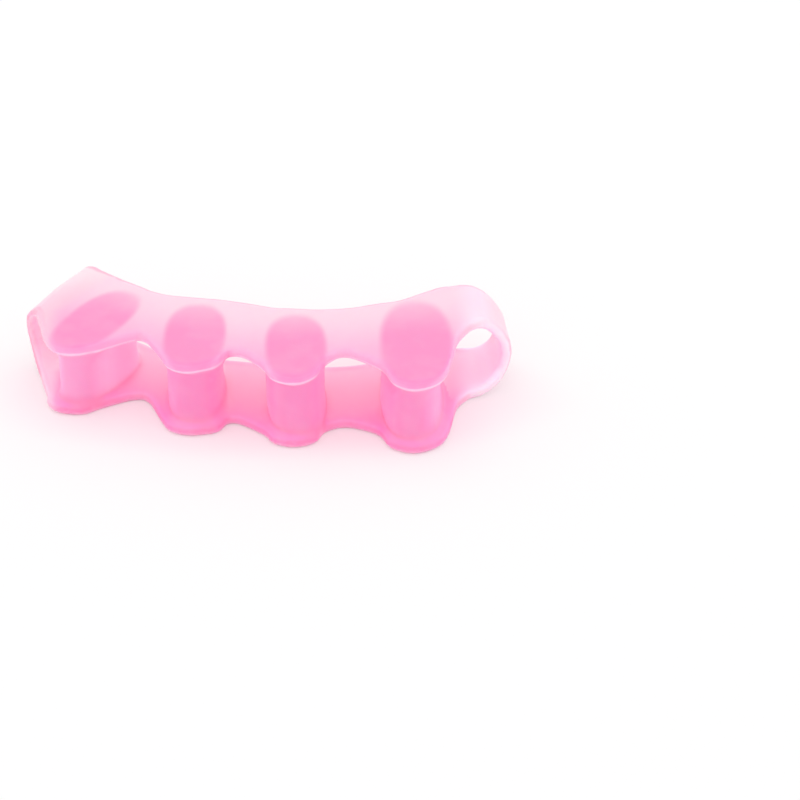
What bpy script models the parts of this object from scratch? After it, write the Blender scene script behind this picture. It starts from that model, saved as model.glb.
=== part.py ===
"""Toe separator, moulded in one piece of soft gel.

Two webs lie one above the other. Four waisted oval posts join them, and at each end they close
into a loop, so that the piece has an opening for each of the five toes. Metres, +Z up. The foot
lies towards +Y and the tips of the toes towards -Y. The little toe is at -X and the big toe at +X.
The underside is on z = 0 and the origin is under the centre of the bounding box.
"""

import math
from dataclasses import dataclass

import bmesh
import bpy
from mathutils import Vector

MM = 0.001

# Heights and walls
HEIGHT = 16.0 * MM  # from the underside of the lower web to the top of the upper web
WEB = 2.2 * MM  # wall of both webs and of both end straps
RIM_RADIUS = 0.9 * MM  # rounding along the rims of the webs
END_FLARE = 1.0 * MM  # how much further a post reaches at a web than at its waist, at each end
FLARE_HEIGHT = 3.4 * MM  # height of the flare at the top and at the foot of a post
FRONT_LIP = 0.8 * MM  # how far the webs reach past a post's flared front end
SIDE_LIP = 1.1 * MM  # the same beside it
SEAT = 0.15 * MM  # how deep a post's flared end sits in a web

# Outlines in plan
FULLNESS = 0.84  # of the posts and of the lips round them: 1 is an ellipse, less is squarer
LIP_ANGLES = (-58.0, -32.0, 0.0, 32.0, 58.0)  # ribs round a post, from the tip of its lip
BACK_SPREAD = 0.7  # how far apart those ribs are at the back rim, as a share of the front

# Steps of the mesh
SPAN_STEPS = 3  # ribs between two neighbouring control ribs of a web
LOOP_STEPS = 6  # control ribs in a quarter of an end loop
CORNER_STEPS = 3  # edges round each corner of a rib's outline
FACE_STEPS = 4  # strips across a web
POST_SIDES = 32
FLARE_STEPS = 4


@dataclass(frozen=True)
class Post:
    """A post between two toes: its centre in plan, its size at the waist and its turn."""

    x: float
    y: float
    width: float
    length: float
    turn: float  # degrees, of the long axis from +Y, positive towards the little toe
    flare: float  # how much wider it is at a web than at its waist, on each side
    back_lip: float  # how far the webs reach past its flared back end
    back_rise: float  # how much further they reach on its big toe side than at its middle
    lean: float = 0.0  # how far the front lip stands to the little toe's side of the post
    waist_shift: float = 0.0  # how far the waist stands to the little toe's side


@dataclass(frozen=True)
class Recess:
    """The hollows of the rims between two posts, each from the line between the posts' lips."""

    front: float
    back: float
    shift: float  # of the front hollow towards the big toe


@dataclass(frozen=True)
class Loop:
    """An end loop, seen from the post beside it: reach is across, the rest is front to back."""

    turn: float  # degrees, of the loop's opening from +Y, as for a post
    reach: float  # from the post's centre to the outside of the strap at its front rim
    back_reach: float  # the same at its back rim
    bulge: float  # how far the rounded end stands out past the flat webs
    front_root: float  # front rim where the rounded end begins
    front_crown: float  # front rim half way down the strap
    back_root: float
    back_crown: float
    shoulder_reach: float  # a point of the front rim between the post's lip and the root
    shoulder: float


LITTLE_POST = Post(
    x=-58.9 * MM, y=31.0 * MM, width=9.8 * MM, length=22.0 * MM, turn=-27.0,
    flare=0.6 * MM, back_lip=2.8 * MM, back_rise=-0.8 * MM, lean=0.7 * MM,
)
SECOND_POST = Post(
    x=-39.4 * MM, y=25.1 * MM, width=10.2 * MM, length=22.0 * MM, turn=0.0,
    flare=0.6 * MM, back_lip=2.2 * MM, back_rise=-0.8 * MM, lean=0.9 * MM,
)
THIRD_POST = Post(
    x=-19.8 * MM, y=21.0 * MM, width=10.6 * MM, length=22.2 * MM, turn=3.0,
    flare=0.4 * MM, back_lip=2.0 * MM, back_rise=-0.7 * MM, lean=0.8 * MM,
)
BIG_POST = Post(
    x=3.2 * MM, y=22.4 * MM, width=11.0 * MM, length=29.4 * MM, turn=1.0,
    flare=1.2 * MM, back_lip=2.6 * MM, back_rise=2.4 * MM, lean=0.8 * MM, waist_shift=1.0 * MM,
)
POSTS = (LITTLE_POST, SECOND_POST, THIRD_POST, BIG_POST)

RECESSES = (
    Recess(front=9.4 * MM, back=1.4 * MM, shift=2.6 * MM),
    Recess(front=6.9 * MM, back=0.0 * MM, shift=-0.9 * MM),
    Recess(front=8.8 * MM, back=2.4 * MM, shift=-1.5 * MM),
)

LITTLE_LOOP = Loop(
    turn=-32.0, reach=18.8 * MM, back_reach=18.7 * MM, bulge=8.0 * MM,
    front_root=-5.3 * MM, front_crown=0.6 * MM,
    back_root=15.9 * MM, back_crown=19.2 * MM,
    shoulder_reach=7.6 * MM, shoulder=-8.0 * MM,
)
BIG_LOOP = Loop(
    turn=1.0, reach=18.8 * MM, back_reach=17.7 * MM, bulge=8.0 * MM,
    front_root=5.3 * MM, front_crown=7.9 * MM,
    back_root=20.8 * MM, back_crown=19.8 * MM,
    shoulder_reach=7.9 * MM, shoulder=0.4 * MM,
)

GEL_PINK = (0.96, 0.40, 0.62, 1.0)
GEL_ROUGHNESS = 0.38
CREASE = math.radians(45)  # edges sharper than this stay sharp in the shading


@dataclass(frozen=True)
class Rib:
    """A cut through a web: its front and back ends in plan and its angle round an end loop."""

    front: Vector
    back: Vector
    angle: float = 0.0


def plan(post, across, along, turn=None):
    """Return a plan point seen from a post's centre; across is positive towards the big toe."""
    turn = math.radians(post.turn if turn is None else turn)
    x = post.x + across * math.cos(turn) - along * math.sin(turn)
    y = post.y + across * math.sin(turn) + along * math.cos(turn)
    return Vector((x, y))


def rounded(angle, half_width, half_length):
    """Return the point of a rounded oval at an angle from its front tip."""
    side = math.copysign(abs(math.sin(angle)) ** FULLNESS, math.sin(angle))
    ahead = math.copysign(abs(math.cos(angle)) ** FULLNESS, math.cos(angle))
    return half_width * side, -half_length * ahead


def post_ribs(post):
    """Return the ribs that carry the rims round one post."""
    half_width = post.width / 2 + post.flare + SIDE_LIP
    half_length = post.length / 2 + END_FLARE
    ribs = []
    for degrees in LIP_ANGLES:
        angle = math.radians(degrees)
        across, along = rounded(angle, half_width, half_length + FRONT_LIP)
        rise = post.back_rise * math.sin(angle)
        front = plan(post, across - post.lean, along)
        back = plan(post, across * BACK_SPREAD, half_length + post.back_lip + rise)
        ribs.append(Rib(front, back))
    return ribs


def recess_rib(before, after, recess):
    """Return the rib half way between two posts, given the middle ribs of both."""
    front = (before.front + after.front) / 2 + Vector((recess.shift, recess.front))
    back = (before.back + after.back) / 2 - Vector((0.0, recess.back))
    return Rib(front, back)


def loop_ribs(post, loop, outward, neighbour):
    """Return the ribs from beside a post to half way down the strap; outward is -1 or 1."""
    root = loop.reach - loop.bulge
    back_root = loop.back_reach - loop.bulge
    ribs = []
    for step in range(LOOP_STEPS + 1):
        angle = math.pi / 2 * step / LOOP_STEPS
        out = math.sin(angle)
        front_along = loop.front_root + (loop.front_crown - loop.front_root) * out
        back_along = loop.back_root + (loop.back_crown - loop.back_root) * out
        front = plan(post, outward * (root + loop.bulge * out), front_along, loop.turn)
        back = plan(post, outward * (back_root + loop.bulge * out), back_along, loop.turn)
        ribs.append(Rib(front, back, angle))
    shoulder = plan(post, outward * loop.shoulder_reach, loop.shoulder, loop.turn)
    return [Rib(shoulder, (neighbour.back + ribs[0].back) / 2), *ribs]


def upper_ribs():
    """Return the control ribs of the upper half, from the little toe's strap to the big toe's."""
    groups = [post_ribs(post) for post in POSTS]
    middle = len(LIP_ANGLES) // 2
    hollows = [
        recess_rib(before[middle], after[middle], recess)
        for before, after, recess in zip(groups, groups[1:], RECESSES)
    ]
    groups[0] = groups[0][1:]
    ribs = list(reversed(loop_ribs(LITTLE_POST, LITTLE_LOOP, -1, groups[0][0])))
    for group, hollow in zip(groups, hollows):
        ribs.extend((*group, hollow))
    ribs.extend(groups[-1])
    ribs.extend(loop_ribs(BIG_POST, BIG_LOOP, 1, groups[-1][-1]))
    return ribs


def spline(before, start, end, after, share):
    """Return a point of the smooth curve through four points, between start and end."""
    first = (end - before) / 2
    last = (after - start) / 2
    square = share * share
    cube = square * share
    return (
        start * (2 * cube - 3 * square + 1)
        + first * (cube - 2 * square + share)
        + end * (3 * square - 2 * cube)
        + last * (cube - square)
    )


def closed_ribs():
    """Return all ribs round the belt: the upper half, then its mirror image below it."""
    upper = upper_ribs()
    lower = [Rib(rib.front, rib.back, math.pi - rib.angle) for rib in reversed(upper[1:-1])]
    control = upper + lower
    count = len(control)
    ribs = []
    for index, rib in enumerate(control):
        before = control[index - 1]
        after = control[(index + 1) % count]
        beyond = control[(index + 2) % count]
        steps = SPAN_STEPS if rib.angle == after.angle else 1
        for step in range(steps):
            share = step / steps
            front = spline(before.front, rib.front, after.front, beyond.front, share)
            back = spline(before.back, rib.back, after.back, beyond.back, share)
            ribs.append(Rib(front, back, rib.angle + (after.angle - rib.angle) * share))
    return ribs


def lift(rib):
    """Return the height of the outer surface at a rib."""
    return HEIGHT / 2 * (1 + math.cos(rib.angle))


def strips(start, end):
    """Return the points that divide a flat face of a rib into strips."""
    shares = [step / FACE_STEPS for step in range(1, FACE_STEPS)]
    return [tuple(a + (b - a) * share for a, b in zip(start, end)) for share in shares]


def corner(along, out, radius, first):
    """Return the points of a quarter circle of a rib's outline, clockwise from an angle."""
    angles = [math.radians(first - 90 * step / CORNER_STEPS) for step in range(CORNER_STEPS + 1)]
    return [(along + radius * math.cos(a), out + radius * math.sin(a)) for a in angles]


def rib_outline(length):
    """Return the rounded outline of a rib: distances from its front end and out of its face."""
    radius = min(RIM_RADIUS, WEB / 2)
    back = corner(length - radius, -radius, radius, 90)
    back += corner(length - radius, radius - WEB, radius, 0)
    front = corner(radius, radius - WEB, radius, -90)
    front += corner(radius, -radius, radius, -180)
    return [*back, *strips(back[-1], front[0]), *front, *strips(front[-1], back[0])]


def belt_mesh():
    """Build the belt of both webs and both straps, swept through its ribs."""
    ribs = closed_ribs()
    fronts = [Vector((*rib.front, lift(rib))) for rib in ribs]
    backs = [Vector((*rib.back, lift(rib))) for rib in ribs]
    mesh = bmesh.new()
    rings = []
    for index, (front, back) in enumerate(zip(fronts, backs)):
        after = (index + 1) % len(ribs)
        ahead = fronts[after] + backs[after] - fronts[index - 1] - backs[index - 1]
        along = (back - front).normalized()
        outside = ahead.cross(along).normalized()
        outline = rib_outline((back - front).length)
        rings.append([mesh.verts.new(front + along * a + outside * b) for a, b in outline])
    for index, ring in enumerate(rings):
        following = rings[(index + 1) % len(rings)]
        for here in range(len(ring)):
            after = (here + 1) % len(ring)
            mesh.faces.new((ring[here], ring[after], following[after], following[here]))
    bmesh.ops.recalc_face_normals(mesh, faces=mesh.faces)
    return mesh


def post_levels():
    """Return heights and widenings up a post, from inside one web to inside the other."""
    levels = [(WEB / 2, 1.0)]
    flare_height = min(FLARE_HEIGHT, HEIGHT / 2 - WEB)
    for step in range(FLARE_STEPS + 1):
        angle = math.pi / 2 * step / FLARE_STEPS
        height = WEB - SEAT + flare_height * (1 - math.cos(angle))
        levels.append((height, 1 - math.sin(angle)))
    levels.extend((HEIGHT - height, widening) for height, widening in reversed(levels))
    return levels


def post_mesh(post):
    """Build one waisted oval post."""
    mesh = bmesh.new()
    rings = []
    for height, widening in post_levels():
        half_width = post.width / 2 + post.flare * widening
        half_length = post.length / 2 + END_FLARE * widening
        shift = post.waist_shift * (1 - widening)
        ring = []
        for side in range(POST_SIDES):
            across, along = rounded(math.tau * side / POST_SIDES, half_width, half_length)
            ring.append(mesh.verts.new((*plan(post, across - shift, along), height)))
        rings.append(ring)
    for lower, upper in zip(rings, rings[1:]):
        for side in range(POST_SIDES):
            after = (side + 1) % POST_SIDES
            mesh.faces.new((lower[side], lower[after], upper[after], upper[side]))
    mesh.faces.new(reversed(rings[0]))
    mesh.faces.new(rings[-1])
    bmesh.ops.recalc_face_normals(mesh, faces=mesh.faces)
    return mesh


def add_object(name, mesh):
    """Turn a bmesh into an object of the scene."""
    data = bpy.data.meshes.new(name)
    mesh.to_mesh(data)
    mesh.free()
    made = bpy.data.objects.new(name, data)
    bpy.context.collection.objects.link(made)
    return made


def gel_material():
    """Return the pink gel."""
    material = bpy.data.materials.new("gel_pink")
    material.use_nodes = True
    shader = material.node_tree.nodes["Principled BSDF"]
    shader.inputs["Base Color"].default_value = GEL_PINK
    shader.inputs["Roughness"].default_value = GEL_ROUGHNESS
    shader.inputs["Metallic"].default_value = 0.0
    return material


def centre_on_origin(body, posts):
    """Move the plan centre of the body's bounding box to the origin, and the posts with it."""
    xs = [vertex.co.x for vertex in body.data.vertices]
    ys = [vertex.co.y for vertex in body.data.vertices]
    offset = Vector(((min(xs) + max(xs)) / 2, (min(ys) + max(ys)) / 2, 0.0))
    for made in (body, *posts):
        for vertex in made.data.vertices:
            vertex.co -= offset


def build_separator():
    """Build the separator as one closed body."""
    body = add_object("separator_body", belt_mesh())
    posts = [add_object(f"post_{index + 1}", post_mesh(post)) for index, post in enumerate(POSTS)]
    centre_on_origin(body, posts)
    for post in posts:
        union = body.modifiers.new(f"join_{post.name}", "BOOLEAN")
        union.operation = "UNION"
        union.solver = "EXACT"
        union.object = post
        post.hide_render = True
        post.display_type = "WIRE"
    body.data.materials.append(gel_material())
    body.data.shade_smooth()
    body.data.set_sharp_from_angle(angle=CREASE)


for old in list(bpy.data.objects):
    bpy.data.objects.remove(old)
build_separator()
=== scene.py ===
"""Toe separator of soft pink gel, lying on its lower web on a pale table."""

import math

import bmesh
import bpy
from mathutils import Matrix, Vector


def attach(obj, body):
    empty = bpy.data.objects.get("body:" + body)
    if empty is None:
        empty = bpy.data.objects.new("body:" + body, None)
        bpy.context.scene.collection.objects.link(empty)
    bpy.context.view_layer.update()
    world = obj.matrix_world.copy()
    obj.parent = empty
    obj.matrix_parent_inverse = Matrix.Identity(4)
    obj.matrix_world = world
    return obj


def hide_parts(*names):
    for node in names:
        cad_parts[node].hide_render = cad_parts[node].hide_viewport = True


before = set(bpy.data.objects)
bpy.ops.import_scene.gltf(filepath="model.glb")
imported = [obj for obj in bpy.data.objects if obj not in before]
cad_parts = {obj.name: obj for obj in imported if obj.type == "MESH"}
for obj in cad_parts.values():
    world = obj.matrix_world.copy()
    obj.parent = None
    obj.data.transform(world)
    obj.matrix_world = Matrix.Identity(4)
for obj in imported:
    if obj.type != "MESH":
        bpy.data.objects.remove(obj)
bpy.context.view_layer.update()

# The moulding: two webs, four posts and two end straps in one piece of translucent pink gel.
# It is cast in a two-part mould. The gel is soft, so it lies bent by up to 2 mm from the
# mould's form, and every edge and every joint comes out of the mould rounded.

MM = 0.001

# Limits are in mm. Two of them rise from none to all, and four rise and fall again.
ANYWHERE = (-200, -199)
UPPER_HALF = (6, 10)
LOWER_HALF = (10, 6)
UPPER_WEB = (9, 14)
LEFT_CORNER = (-43, -47)
POST_WAIST = (2, 5, 11, 14)
MIDDLE_HOLLOW = ((-14, -4.8, -4.8, 4.5), (-5.4, -15.4))
BIG_TOE_HOLLOW = ((6.7, 16, 16, 25.3), (-6.7, -16.7))

# Each row pushes the gel along one axis, by so many mm, within limits over x, y and z.
FLEX = (
    # the back rim is fuller behind the little toe's post
    ("y", 0.5, (-42, -34, -21, -12), (6, 12), UPPER_HALF),
    ("y", 1.4, (-40, -28, -23, -12), (6, 12), LOWER_HALF),
    # the corner beyond the little toe's post is round
    ("z", -0.9, LEFT_CORNER, ANYWHERE, (10, 14)),
    ("x", 0.8, LEFT_CORNER, ANYWHERE, (10, 14)),
    ("x", 0.35, (-42, -46), (-3, 2), (8, 4)),
    ("x", -0.8, (-37.5, -40.5), (-6, -9), (4, 1)),
    # the upper web is arched between the posts and its hollows are deeper than the lower web's
    ("y", 0.3, *MIDDLE_HOLLOW, (8, 9)),
    ("z", 0.5, *MIDDLE_HOLLOW, (9, 13)),
    ("y", -1.5, *MIDDLE_HOLLOW, (9, 8)),
    ("y", 0.8, *BIG_TOE_HOLLOW, (8, 9)),
    ("z", 0.8, *BIG_TOE_HOLLOW, (9, 13)),
    ("y", -0.6, *BIG_TOE_HOLLOW, (9, 8)),
    # the hollows sit further towards the big toe
    ("x", 1.4, (-14, -9, -7, 1), (-4, -12), UPPER_WEB),
    ("x", 1.4, (-14, -9, -7, 1), (-4, -12), (4, 2)),
    ("x", 0.8, (16, 22, 24, 29), (-8, -15), UPPER_WEB),
    ("x", 0.5, (-23, -20, -19, -16), (-8, -13), UPPER_WEB),
    ("y", 0.6, (12, 14.5, 16, 19), (-10, -14), UPPER_WEB),
    # the posts are a little wider on their left
    ("x", -0.5, (-20, -18, -17, -14), (-2, -8), POST_WAIST),
    ("x", -0.8, (-1, 1, 2, 5), (-6, -12), POST_WAIST),
    ("x", -0.8, (18, 22, 25, 29), (-8, -14), POST_WAIST),
    # the back rim of the upper web, and of the lower
    ("y", -1.1, (20, 25.8, 25.8, 31.5), (0, 5), UPPER_HALF),
    ("y", 0.9, (29, 36, 44, 50), (3, 8), UPPER_HALF),
    ("z", 0.3, (36, 41, 44, 50), (3, 8), (10, 14)),
    ("y", 1.1, (-12, 3, 16, 29), (-3, 3), (6, 3)),
    # the big toe's strap leans back and is narrower at its top
    ("y", 1.5, (33, 42), (8, -2), (8, 16)),
    ("y", -1.5, (33, 42), (8, -2), (8, 0)),
    ("x", 0.15, (36, 46), ANYWHERE, ANYWHERE),
    ("x", -0.9, (38, 47), ANYWHERE, (9, 15)),
    ("y", -0.8, (34, 40), (2, -6), (5, 2)),
    ("y", -0.7, (35.5, 38.5, 39.5, 42.5), (8, -2), (10, 14)),
    ("y", 0.6, (41, 44, 45, 47), (8, -2), (10, 14)),
    # the front of the little toe's post
    ("y", -0.6, (-53, -38, -38, -23), (0, -9), (8, 16)),
    ("y", 0.6, (-53, -38, -38, -23), (0, -9), (8, 0)),
    ("y", -1.3, (-35, -31, -27, -21), (-2, -5), (10, 14)),
)


def past(value, start, end):
    """Rise smoothly from 0 at start to 1 at end."""
    share = min(max((value - start) / (end - start), 0.0), 1.0)
    return share * share * (3 - 2 * share)


def within(value, start, whole, fading=None, end=None):
    """Rise from 0 at start to 1 at whole, then fall from fading to end where they are given."""
    share = past(value, start, whole)
    return share if end is None else share * past(value, end, fading)


def flexed(point):
    """Return where a point of the mould's form lies on the soft cast piece, in millimetres."""
    moved = dict(zip("xyz", point))
    for axis, push, *limits in FLEX:
        for value, limit in zip(point, limits):
            push *= within(value, *limit)
        moved[axis] += push
    return Vector((moved["x"], moved["y"], moved["z"]))


solid = bmesh.new()
solid.from_mesh(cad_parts["separator_body"].data)
bmesh.ops.remove_doubles(solid, verts=solid.verts, dist=0.001 * MM)
for vertex in solid.verts:
    vertex.co = flexed(vertex.co / MM) * MM
skin = bpy.data.meshes.new("gel_moulding")
solid.to_mesh(skin)
solid.free()
moulding = bpy.data.objects.new("gel_moulding", skin)
bpy.context.collection.objects.link(moulding)

# The skin: the form is meshed anew in fine cells, and its edges are softened by smoothing.
# What the gel's colour depends on is measured here and kept on the surface: where a post stands
# behind the skin, how thick the gel is there, what lies under the web, and which way it faces.


class Wire:
    """A socket of a node tree, with the arithmetic that the trees of this file use."""

    def __init__(self, tree, socket=None):
        self.tree = tree
        self.socket = socket

    def node(self, kind, settings=None, sockets=None, output=0):
        """Add a node: its settings come first, then the values or links of its sockets."""
        made = self.tree.nodes.new(kind)
        for name, value in (settings or {}).items():
            setattr(made, name, value)
        for key, value in (sockets or {}).items():
            if isinstance(value, Wire):
                self.tree.links.new(value.socket, made.inputs[key])
            else:
                made.inputs[key].default_value = value
        return Wire(self.tree, made.outputs[output])

    def math(self, operation, *values):
        return self.node("ShaderNodeMath", {"operation": operation}, dict(enumerate(values)))

    def vector(self, operation, *values, output=0):
        settings = {"operation": operation}
        return self.node("ShaderNodeVectorMath", settings, dict(enumerate(values)), output)

    def rise(self, start, end):
        """Rise smoothly from 0 at start to 1 at end."""
        settings = {"interpolation_type": "SMOOTHSTEP"}
        limits = {"Value": self, "From Min": start, "From Max": end}
        return self.node("ShaderNodeMapRange", settings, limits)

    def axes(self):
        """Split a vector into its values along x, y and z."""
        return [self.node("ShaderNodeSeparateXYZ", None, {0: self}, axis) for axis in range(3)]

    def __abs__(self):
        return self.math("ABSOLUTE", self)

    def __add__(self, other):
        return self.math("ADD", self, other)

    __radd__ = __add__

    def __sub__(self, other):
        return self.math("SUBTRACT", self, other)

    def __rsub__(self, other):
        return self.math("SUBTRACT", other, self)

    def __mul__(self, other):
        return self.math("MULTIPLY", self, other)

    __rmul__ = __mul__

    def __truediv__(self, other):
        return self.math("DIVIDE", self, other)

    def __pow__(self, other):
        return self.math("POWER", self, other)


def larger(first, second):
    """Take the larger of two values at each point."""
    return first.math("MAXIMUM", first, second)


SKIN_CELL = 0.4 * MM
SOFTENING_ROUNDS = 10
HAZE_ROUNDS = 8
HALO_ROUNDS = 40
BULGE_ROUNDS = 12
SKIN_DEPTH = 0.8 * MM
SKIN_CLEARANCE = 0.1 * MM
RAY_LENGTH = 60 * MM
WEB_TO_POST = (2.8, 4.4)  # thickness in mm
LYING_FLAT = (0.5, 0.9)  # height of the normal, on a side and on a web
REFRACTION = 1.65  # mm by which a post seen through the web seems to stand further forward

# The posts' outlines as the web shows them: middle in x and y, half width and half length in mm,
# and turn in degrees.
PADS = (
    (-32.7, -0.1, 5.7, 12.2, -27),
    (-13.2, -6.4, 5.9, 12.3, 0),
    (6.4, -10.6, 5.8, 12.4, 3),
    (29.4, -9.6, 6.9, 16.6, 1),
)
PAD_SQUARENESS = 2.4
PAD_BORDER = (1.28, 0.72)
PAD_FADING = (0.1, 1.1)
PAD_FADED = 0.45

form = bpy.data.node_groups.new("gel_form", "GeometryNodeTree")
for name, way, kind in (
    ("Geometry", "INPUT", "NodeSocketGeometry"),
    ("Softening", "INPUT", "NodeSocketInt"),
    ("Haze", "INPUT", "NodeSocketInt"),
    ("Material", "INPUT", "NodeSocketMaterial"),
    ("Geometry", "OUTPUT", "NodeSocketGeometry"),
):
    form.interface.new_socket(name, in_out=way, socket_type=kind)
form_wire = Wire(form)
given = {
    socket.name: Wire(form, socket) for socket in form.nodes.new("NodeGroupInput").outputs
}


def blurred(value, rounds, kind="FLOAT"):
    """Average a value with its neighbours on the surface, a number of times."""
    settings = {"data_type": kind}
    return form_wire.node("GeometryNodeBlurAttribute", settings, {0: value, "Iterations": rounds})


# Twice the once-smoothed place less the twice-smoothed one keeps the webs from getting thinner.
place = form_wire.node("GeometryNodeInputPosition")
once = blurred(place, given["Softening"], "FLOAT_VECTOR")
twice = blurred(once, given["Softening"], "FLOAT_VECTOR")
softened = once.vector("SUBTRACT", once.vector("MULTIPLY", once, (2.0,) * 3), twice)
sockets = {"Geometry": given["Geometry"], "Position": softened}
shell = form_wire.node("GeometryNodeSetPosition", None, sockets)

normal = form_wire.node("GeometryNodeInputNormal")
facing_x, facing_y, facing_z = normal.axes()
sockets = {"Y": larger(facing_z, 0.0) * (REFRACTION * MM)}
seen_through = form_wire.node("ShaderNodeCombineXYZ", None, sockets)
below = form_wire.vector("MULTIPLY_ADD", normal, (-SKIN_DEPTH,) * 3, place)
inside = form_wire.vector("ADD", below, seen_through)


def ray(start, direction, output):
    """Send a ray from a point to the shell."""
    sockets = {"Source Position": start, "Ray Direction": direction, "Ray Length": RAY_LENGTH}
    sockets["Target Geometry"] = shell
    return form_wire.node("GeometryNodeRaycast", None, sockets, output)


def span(axis):
    """Measure the gel through an inner point, along an axis both ways, in millimetres."""
    ahead = tuple(float(part) for part in axis)
    behind = tuple(-part for part in ahead)
    return (ray(inside, ahead, "Hit Distance") + ray(inside, behind, "Hit Distance")) / MM


thinnest = form_wire.math("MINIMUM", span((1, 0, 0)), span((0, 1, 0)))
thinnest = form_wire.math("MINIMUM", thinnest, span((0, 0, 1)))
thick = blurred(thinnest.rise(*WEB_TO_POST), given["Haze"])
above = form_wire.vector("MULTIPLY_ADD", normal, (SKIN_CLEARANCE,) * 3, place)
roofed = ray(above, normal, "Is Hit")
smoothed = blurred(place, BULGE_ROUNDS, "FLOAT_VECTOR")
bulge = form_wire.vector("SUBTRACT", place, smoothed)
edge = form_wire.vector("DOT_PRODUCT", normal, bulge, output="Value") / MM

along_x, along_y = (part / MM for part in place.axes()[:2])
pads = None
for pad_x, pad_y, half_width, half_length, turn in PADS:
    cosine, sine = math.cos(math.radians(turn)), math.sin(math.radians(turn))
    from_x = along_x - pad_x
    from_y = along_y + larger(facing_z, 0.0) * REFRACTION - pad_y
    sideways = (from_x * cosine + from_y * sine) / half_width
    lengthways = (from_y * cosine - from_x * sine) / half_length
    reach = abs(sideways) ** PAD_SQUARENESS + abs(lengthways) ** PAD_SQUARENESS
    pad = reach.rise(*PAD_BORDER) * (1 - lengthways.rise(*PAD_FADING) * PAD_FADED)
    pads = pad if pads is None else larger(pads, pad)

finished = shell
for name, value in {
    "pad": pads * abs(facing_z).rise(*LYING_FLAT) * (1 - roofed),
    "thick": thick,
    "halo": blurred(thick, HALO_ROUNDS),
    "roofed": blurred(roofed, given["Haze"]),
    "edge": edge,
    "upward": facing_z,
    "aside": facing_x,
    "backward": facing_y,
}.items():
    sockets = {"Geometry": finished, "Name": name, "Value": value}
    finished = form_wire.node("GeometryNodeStoreNamedAttribute", None, sockets)
finished = form_wire.node("GeometryNodeSetShadeSmooth", None, {"Geometry": finished})
finished = form_wire.node("GeometryNodeRealizeInstances", None, {"Geometry": finished})
sockets = {"Geometry": finished, "Material": given["Material"]}
finished = form_wire.node("GeometryNodeSetMaterial", None, sockets)
form.links.new(finished.socket, form.nodes.new("NodeGroupOutput").inputs[0])

# The gel: translucent and satin, pale where it is thin, and deeper pink where a post stands
# under it. The lower web's deeper pink is painted shade from the upper web. Painted lines of
# shade and highlight run along the rims, a painted glow stands in for light through the gel,
# and the gel is slightly cloudy and uneven, as it came from the mould.


def tint(red, green, blue):
    """Return a colour for a shader from its values as they are seen, of 255."""
    seen = [part / 255 for part in (red, green, blue)]
    return (*(((part + 0.055) / 1.055) ** 2.4 for part in seen), 1.0)


def mixed(share, first, second):
    """Mix two colours, which sockets 6 and 7 take, by a share that changes over the surface."""
    colours = {0: share, 6: first, 7: second}
    return share.node("ShaderNodeMix", {"data_type": "RGBA"}, colours, 2)


def place_in_mm(wire):
    """Read the place on a piece, in millimetres."""
    sockets = {"Vector": wire.node("ShaderNodeTexCoord", output="Object"), "Scale": 1 / MM}
    return wire.node("ShaderNodeVectorMath", {"operation": "SCALE"}, sockets)


gel = bpy.data.materials.new("gel_pink")
gel.use_nodes = True
gel_wire = Wire(gel.node_tree)
gel_shader = gel.node_tree.nodes["Principled BSDF"]
for name, value in {
    "IOR": 1.41,
    "Subsurface Weight": 1.0,
    "Subsurface Radius": (1.0, 0.7, 0.85),
    "Subsurface Scale": 2.0 * MM,
    # The emission is a painted glow that stands in for light through the gel.
    "Emission Strength": 0.3,
}.items():
    gel_shader.inputs[name].default_value = value


def kept(name):
    """Read a value that the skin's tree keeps on the surface."""
    return gel_wire.node("ShaderNodeAttribute", {"attribute_name": name}, None, "Fac")


spot = place_in_mm(gel_wire)
x, y, z = spot.axes()
upward, aside, backward = kept("upward"), kept("aside"), kept("backward")
inner = kept("roofed")
flat = abs(upward).rise(*LYING_FLAT)
RIM_BULGE = (0.07, 0.16)  # mm by which a rim stands out of its smoothed place
rim = kept("edge").rise(*RIM_BULGE)

# The webs deepen from back to front, across a line that follows their curve, and downwards:
# the lower web's deeper pink is painted shade from the upper web.
WEB_BACK = tint(255, 212, 226)
WEB_FRONT = tint(255, 171, 211)
# The lower web's two colours are painted shade from the upper web.
SHADED_LOW_BACK = tint(255, 196, 216)
SHADED_LOW_FRONT = tint(255, 137, 195)
LOWER_WEB = (9.0, 4.0)
CURVE_MIDDLE, CURVE_BEND, CURVE_FRONT = 8, 0.0078, 10
WEB_WIDTH = 14
WEB_FADING = (-0.9, 0.9)

from_middle = x - CURVE_MIDDLE
curve = from_middle * from_middle * CURVE_BEND - CURVE_FRONT
front = ((curve - y) / WEB_WIDTH).rise(*WEB_FADING)
low = z.rise(*LOWER_WEB)
upper_web = mixed(front, WEB_BACK, WEB_FRONT)
web = mixed(low, upper_web, mixed(front * front, SHADED_LOW_BACK, SHADED_LOW_FRONT))

# The straps are the thinnest gel and the palest. The little toe's strap starts beyond a line
# through the middle of its post, and is paler towards its back corner. Their insides are
# painted: paler in the little toe's strap, as painted light through it, and deeper in the big
# toe's loop, as painted shade. The big toe's strap has painted shade where it faces sideways.
# Painted shade runs along the little toe's strap's rims, and painted light along the big toe's.
LITTLE_STRAP = tint(255, 199, 217)
# Painted light inside the little toe's strap.
LITTLE_STRAP_LIT_INSIDE = tint(255, 215, 226)
LITTLE_CORNER = tint(255, 219, 227)
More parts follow.
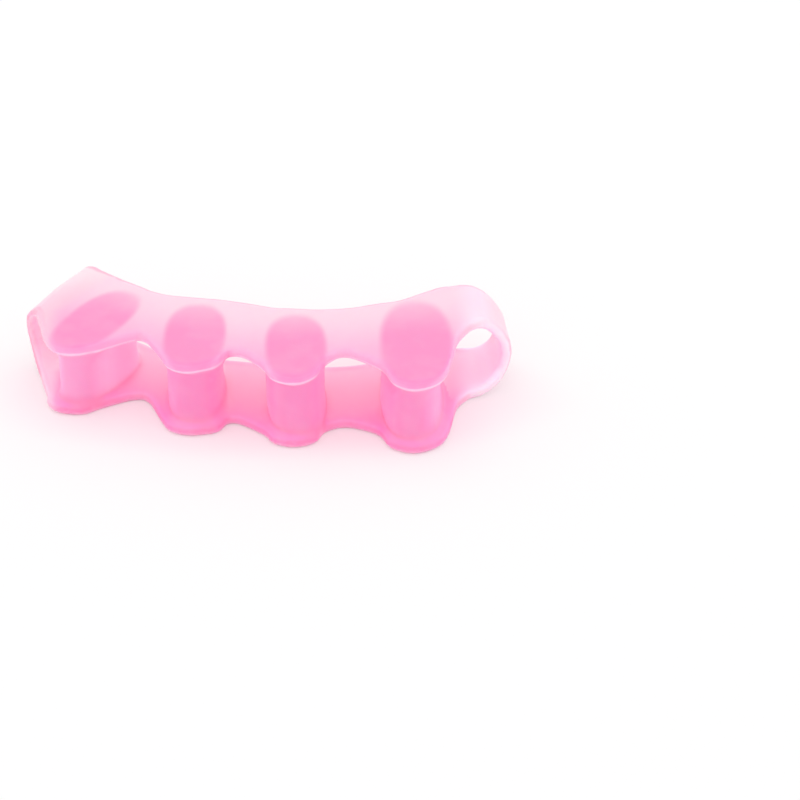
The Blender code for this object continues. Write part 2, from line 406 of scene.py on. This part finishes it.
# Painted shade along the little toe's strap's rims.
LITTLE_RIM_SHADE, LITTLE_RIM_SHARE = tint(255, 180, 204), 0.45
LITTLE_MIDDLE, LITTLE_TURN = (-32.7, -0.4), math.radians(-32)
LITTLE_STRAP_START = (-6, -10)
LITTLE_STRAP_OUTSIDE = (-10, -13)
LITTLE_STRAP_END = (-38.5, -43)
LITTLE_CORNER_START = (6, 18)
BIG_STRAP = tint(255, 222, 236)
# Painted shade inside the big toe's loop.
BIG_STRAP_SHADED_INSIDE = tint(255, 213, 229)
# Painted shade where the big toe's strap faces sideways.
BIG_STRAP_SHADED_SIDE = tint(255, 208, 222)
# Painted light along the big toe's strap's rims.
BIG_RIM_LIGHT, BIG_RIM_SHARE = tint(255, 236, 242), 0.3
BIG_STRAP_START = (36, 41)
BIG_RIM_START = (38, 43)
SIDE_ON = (0.4, 0.9)

east, north = x - LITTLE_MIDDLE[0], y - LITTLE_MIDDLE[1]
across = east * math.cos(LITTLE_TURN) + north * math.sin(LITTLE_TURN)
little_strap = larger(across.rise(*LITTLE_STRAP_START), x.rise(*LITTLE_STRAP_END))
little_outside = mixed(y.rise(*LITTLE_CORNER_START), LITTLE_STRAP, LITTLE_CORNER)
web = mixed(little_strap, web, mixed(inner, little_outside, LITTLE_STRAP_LIT_INSIDE))
big_strap = x.rise(*BIG_STRAP_START)
big_outside = mixed(abs(aside).rise(*SIDE_ON), BIG_STRAP, BIG_STRAP_SHADED_SIDE)
web = mixed(big_strap, web, mixed(inner, big_outside, BIG_STRAP_SHADED_INSIDE))
web = mixed(rim * x.rise(*BIG_RIM_START) * BIG_RIM_SHARE, web, BIG_RIM_LIGHT)
web = mixed(rim * little_strap * LITTLE_RIM_SHARE, web, LITTLE_RIM_SHADE)
straps = larger(little_strap, big_strap)

# The posts are the thickest gel and the deepest in colour. The little toe's post is paler, and
# all of them are painted paler, as painted light, where their round sides turn away.
POST = tint(255, 147, 198)
POST_LOW, POST_LOW_SHARE = tint(255, 150, 190), 0.8
# Painted light where the posts' round sides turn away.
POST_SIDE_LIGHT, POST_SIDE_SHARE = tint(255, 172, 214), 0.5
LITTLE_POST = tint(255, 164, 208)
# Painted light on the little toe's post's side towards the next post, under the web.
LITTLE_SIDE_LIGHT, LITTLE_SIDE_SHARE = tint(255, 202, 231), 0.9
PAD = tint(255, 146, 197)
POST_TURNING, LITTLE_TURNING, LIP_TURNING = (0.85, 1.0), (0.55, 0.95), (0.3, 0.8)
POST_FOOT = (4.5, 1.5)
LITTLE_POST_START = (-20.5, -23.5)
FRONT_FOOT_HEIGHT, FRONT_FOOT_START = (5, 2), (-4, -8)
LIP_FADING, LIP_SHARE = (0.05, 0.35), 0.7

little = x.rise(*LITTLE_POST_START)
front_foot = z.rise(*FRONT_FOOT_HEIGHT) * y.rise(*FRONT_FOOT_START)
lit_post_side = abs(aside).rise(*POST_TURNING) * (1 - little)
lit_little_side = aside.rise(*LITTLE_TURNING) * little
post = mixed(little * (1 - front_foot), POST, LITTLE_POST)
post = mixed(z.rise(*POST_FOOT) * POST_LOW_SHARE, post, POST_LOW)
post = mixed(lit_post_side * POST_SIDE_SHARE, post, POST_SIDE_LIGHT)
post = mixed(lit_little_side * LITTLE_SIDE_SHARE, post, LITTLE_SIDE_LIGHT)
facing_front = 1 - abs(aside).rise(*LIP_TURNING)
lip = kept("halo").rise(*LIP_FADING) * (1 - flat) * facing_front * LIP_SHARE
wall = larger(kept("thick") * (1 - flat * (1 - inner)), lip) * (1 - straps)
colour = mixed(kept("pad"), mixed(wall, web, post), PAD)

# Painted lines along the rims: painted shade above each lip, on the outer sides and along the
# back, a painted highlight under each lip, and painted light where the foot of the moulding
# meets the table.
# Painted shade along the top of each lip.
LIP_TOP_SHADE, LIP_TOP_SHADE_SHARE = tint(252, 150, 202), 0.35
LIP_TOP_FACING = (0.15, 0.45), (0.95, 0.7)
# Painted shade lines along the outer sides and the back rim.
RIM_SHADE, OUTER_SHARE, BIG_OUTER_SHARE, BACK_SHARE = tint(238, 160, 190), 0.9, 0.5, 0.55
LITTLE_OUTER_FACING, BIG_OUTER_FACING = (-0.45, -0.95), (0.5, 0.95)
BACK_BULGE, BACK_FACING = (0.06, 0.12), (-0.05, 0.2)
# Painted highlight under each lip.
GLINT, GLINT_SHARE = tint(255, 216, 235), 0.75
GLINT_FACING, GLINT_START = (-0.02, -0.3), (-40.5, -38.5)
# Painted light where the foot of the moulding meets the table.
FOOT_LIGHT, FOOT_LIGHT_SHARE = tint(255, 200, 222), 0.7
FOOT_HEIGHT = (1.3, 0.2)

above_low = 1 - low
turned_up = upward.rise(*LIP_TOP_FACING[0]) * upward.rise(*LIP_TOP_FACING[1])
lip_top_shade = rim * turned_up * lip * above_low
little_outer = aside.rise(*LITTLE_OUTER_FACING) * across.rise(*LITTLE_STRAP_OUTSIDE)
big_outer = aside.rise(*BIG_OUTER_FACING) * big_strap * BIG_OUTER_SHARE
outer_shade_line = rim * larger(little_outer, big_outer) * OUTER_SHARE
back_rim = kept("edge").rise(*BACK_BULGE) * backward.rise(*BACK_FACING)
back_shade_line = back_rim * above_low * BACK_SHARE
under_lip = upward.rise(*GLINT_FACING) * above_low * (1 - little_strap)
glint = rim * under_lip * x.rise(*GLINT_START) * GLINT_SHARE
foot_light = z.rise(*FOOT_HEIGHT) * (1 - flat) * FOOT_LIGHT_SHARE
colour = mixed(lip_top_shade * LIP_TOP_SHADE_SHARE, colour, LIP_TOP_SHADE)
colour = mixed(larger(outer_shade_line, back_shade_line), colour, RIM_SHADE)
colour = mixed(glint, colour, GLINT)
colour = mixed(foot_light, colour, FOOT_LIGHT)

# The gel's own unevenness: pale clouds some 6 mm across and a grain of about 1 mm.
CLOUD, CLOUD_SHARE = tint(255, 205, 222), 0.1
CLOUD_FADING = (0.4, 0.7)
CLOUDS_PER_MM, CLOUD_DETAIL, CLOUD_RELIEF = 0.16, 2.0, 0.8
GRAINS_PER_MM, GRAIN_DETAIL, GRAIN_RELIEF = 1.1, 3.0, 0.2
SATIN, SATIN_SPREAD = 0.28, 0.16
RELIEF_STRENGTH, RELIEF_HEIGHT = 0.35, 0.25 * MM

sockets = {"Vector": spot, "Scale": CLOUDS_PER_MM, "Detail": CLOUD_DETAIL}
cloud = gel_wire.node("ShaderNodeTexNoise", None, sockets)
colour = mixed(cloud.rise(*CLOUD_FADING) * CLOUD_SHARE, colour, CLOUD)
sockets = {"Vector": spot, "Scale": GRAINS_PER_MM, "Detail": GRAIN_DETAIL}
grain = gel_wire.node("ShaderNodeTexNoise", None, sockets)
relief = cloud * CLOUD_RELIEF + grain * GRAIN_RELIEF
sockets = {"Strength": RELIEF_STRENGTH, "Distance": RELIEF_HEIGHT, "Height": relief}
uneven = gel_wire.node("ShaderNodeBump", None, sockets)

# Light that comes through the gel, painted as a glow in the gel's own colour: a little all
# over, and more inside the straps, on the lower web and at the posts' sides.
BLACK = (0, 0, 0, 1)
THROUGH_STRAPS, THROUGH_LOWER_WEB, THROUGH_POSTS, THROUGH_ALL = 0.35, 0.5, 0.3, 0.2
LOWER_WEB_FACING, POST_SIDE_FACING = (0.3, 0.8), (0.5, 0.9)

through_straps = inner * straps * THROUGH_STRAPS
through_lower_web = low * upward.rise(*LOWER_WEB_FACING) * THROUGH_LOWER_WEB
through_posts = wall * abs(aside).rise(*POST_SIDE_FACING) * THROUGH_POSTS
lit_through = larger(larger(through_straps, through_lower_web), through_posts)
for name, value in {
    "Base Color": colour,
    "Roughness": grain * SATIN_SPREAD + SATIN,
    "Normal": uneven,
    "Emission Color": mixed(lit_through + THROUGH_ALL, BLACK, colour),
}.items():
    gel.node_tree.links.new(value.socket, gel_shader.inputs[name])

cells = moulding.modifiers.new("cells", "REMESH")
cells.mode = "VOXEL"
cells.voxel_size = SKIN_CELL
shaping = moulding.modifiers.new("form", "NODES")
shaping.node_group = form
identifiers = {
    item.name: item.identifier for item in form.interface.items_tree if item.in_out == "INPUT"
}
shaping[identifiers["Softening"]] = SOFTENING_ROUNDS
shaping[identifiers["Haze"]] = HAZE_ROUNDS
shaping[identifiers["Material"]] = gel
evaluated = moulding.evaluated_get(bpy.context.evaluated_depsgraph_get())
moulding.data = bpy.data.meshes.new_from_object(evaluated)
moulding.data.name = "gel_moulding"
moulding.modifiers.clear()
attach(moulding, "root")
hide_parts("separator_body")

# The table: a plain pale matt sheet that the moulding lies on.
# Round the moulding, the pink light that the gel casts on the sheet is painted into its colour.

TABLE_HALF_SIDE = 3.0
SHEET = (0.99, 0.99, 0.99, 1)
WHITE = (1, 1, 1, 1)
SHEET_GLOW = 0.99
SEEN_AS_WHITE = 0.35
# Painted light: the gel's pink, cast on the sheet round the moulding.
BOUNCE_TINT = tint(255, 245, 249)
BOUNCE_MIDDLE = (2, -4)
BOUNCE_HALF_LENGTH, BOUNCE_HALF_WIDTH = 50, 20
BOUNCE_FADING = (1.5, 0.7)

table_mesh = bpy.data.meshes.new("table")
corners = [
    (TABLE_HALF_SIDE * a, TABLE_HALF_SIDE * b, 0) for a, b in ((-1, -1), (1, -1), (1, 1), (-1, 1))
]
table_mesh.from_pydata(corners, [], [(0, 1, 2, 3)])
table = bpy.data.objects.new("table", table_mesh)
bpy.context.collection.objects.link(table)
paper = bpy.data.materials.new("table_white")
paper.use_nodes = True
paper_wire = Wire(paper.node_tree)
paper_shader = paper.node_tree.nodes["Principled BSDF"]
paper_shader.inputs["Roughness"].default_value = 0.9
paper_shader.inputs["Specular IOR Level"].default_value = 0.0
table_x, table_y, _ = place_in_mm(paper_wire).axes()
out_x = (table_x - BOUNCE_MIDDLE[0]) / BOUNCE_HALF_LENGTH
out_y = (table_y - BOUNCE_MIDDLE[1]) / BOUNCE_HALF_WIDTH
bounce_tint = (out_x**2 + out_y**2).rise(*BOUNCE_FADING)
paint = mixed(bounce_tint, SHEET, BOUNCE_TINT)
paper.node_tree.links.new(paint.socket, paper_shader.inputs["Base Color"])
camera_ray = paper_wire.node("ShaderNodeLightPath", output="Is Camera Ray")
sockets = {
    0: camera_ray * SEEN_AS_WHITE,
    1: Wire(paper.node_tree, paper_shader.outputs[0]),
    2: paper_wire.node("ShaderNodeEmission", None, {"Color": WHITE, "Strength": SHEET_GLOW}),
}
whitened = paper_wire.node("ShaderNodeMixShader", None, sockets)
table_output = paper.node_tree.nodes["Material Output"]
paper.node_tree.links.new(whitened.socket, table_output.inputs["Surface"])
table_mesh.materials.append(paper)

# The light: a bright, even room, and one broad soft lamp above the piece and behind it.
# The lamp is weak, so that the pale gel keeps its colour and doesn't clip to white.

LAMP_PLACE = (-0.15, 0.25, 0.6)
LAMP_TILT = (math.radians(-22), math.radians(-14), 0)
LAMP_WIDTH = 0.5
LAMP_WATTS = 0.15
ROOM_LIGHT = 1.0

scene = bpy.context.scene
scene.view_settings.view_transform = "Standard"
room = bpy.data.worlds.new("room")
scene.world = room
room.use_nodes = True
room.node_tree.nodes["Background"].inputs["Color"].default_value = WHITE
room.node_tree.nodes["Background"].inputs["Strength"].default_value = ROOM_LIGHT
lamp_data = bpy.data.lights.new("lamp", "AREA")
lamp_data.shape = "DISK"
lamp_data.size = LAMP_WIDTH
lamp_data.energy = LAMP_WATTS
lamp = bpy.data.objects.new("lamp", lamp_data)
lamp.location = LAMP_PLACE
lamp.rotation_euler = LAMP_TILT
bpy.context.collection.objects.link(lamp)

# The camera: half a metre in front of the piece, a little to the right of its middle.
# It looks down at about a third of a right angle, with a narrow view.

CAMERA_PLACE = (26.211 * MM, -505.37 * MM, 305.7 * MM)
LOOKING_DOWN = 31.43
VIEW_ANGLE = 15.19
NEAREST = 0.05

camera_data = bpy.data.cameras.new("camera")
camera_data.angle = math.radians(VIEW_ANGLE)
camera_data.clip_start = NEAREST
camera = bpy.data.objects.new("camera", camera_data)
camera.location = CAMERA_PLACE
camera.rotation_euler = (math.radians(90 - LOOKING_DOWN), 0, 0)
bpy.context.collection.objects.link(camera)
scene.camera = camera
